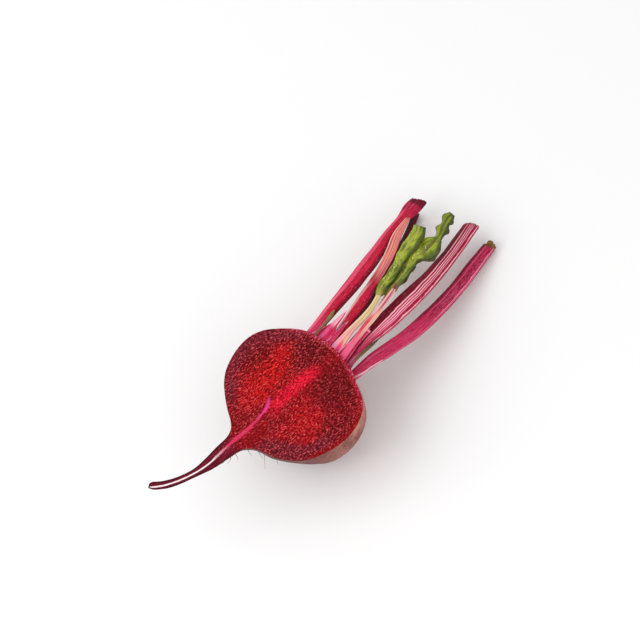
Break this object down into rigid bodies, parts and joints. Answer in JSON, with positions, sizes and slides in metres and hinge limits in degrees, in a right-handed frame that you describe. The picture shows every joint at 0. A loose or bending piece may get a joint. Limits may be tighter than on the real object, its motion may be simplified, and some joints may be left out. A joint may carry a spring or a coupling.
{
  "type": "halved beetroot with stems",
  "caption": "Beetroot cut in half lengthwise through root and tail, lying on its round back with its cut stems and young leaves.",
  "frame": {"origin": "under the middle of the outer box, on the surface that the part rests on", "axes": "+X from the tail to the cut ends of the stems, +Z the normal of the level cut face, +Y the left side seen from the tail"},
  "size_m": [0.2156, 0.0956, 0.042],
  "materials": {
    "beet_skin": "dull, slightly rough skin",
    "crimson_stem": "satin, waxy",
    "salmon_stem": "satin, waxy",
    "dark_stem": "satin",
    "ribbed_stem": "satin, ribbed",
    "magenta_stem": "satin, netted",
    "young_leaf": "glossy, crinkled",
    "torn_face": "moist, fibrous",
    "pink_scale": "satin",
    "olive_bud": "satin"
  },
  "bodies": {
    "root": {"root_half": "beet_skin", "stem_1": "crimson_stem", "stem_2": "salmon_stem", "stem_3": "dark_stem", "stem_4": "ribbed_stem", "stem_5": "magenta_stem", "leaf_1": "young_leaf", "leaf_2": "young_leaf", "torn_stub": "torn_face", "crown_scale": "pink_scale", "crown_bud": "olive_bud", "crown_sliver": "olive_bud"}
  },
  "joints": []
}
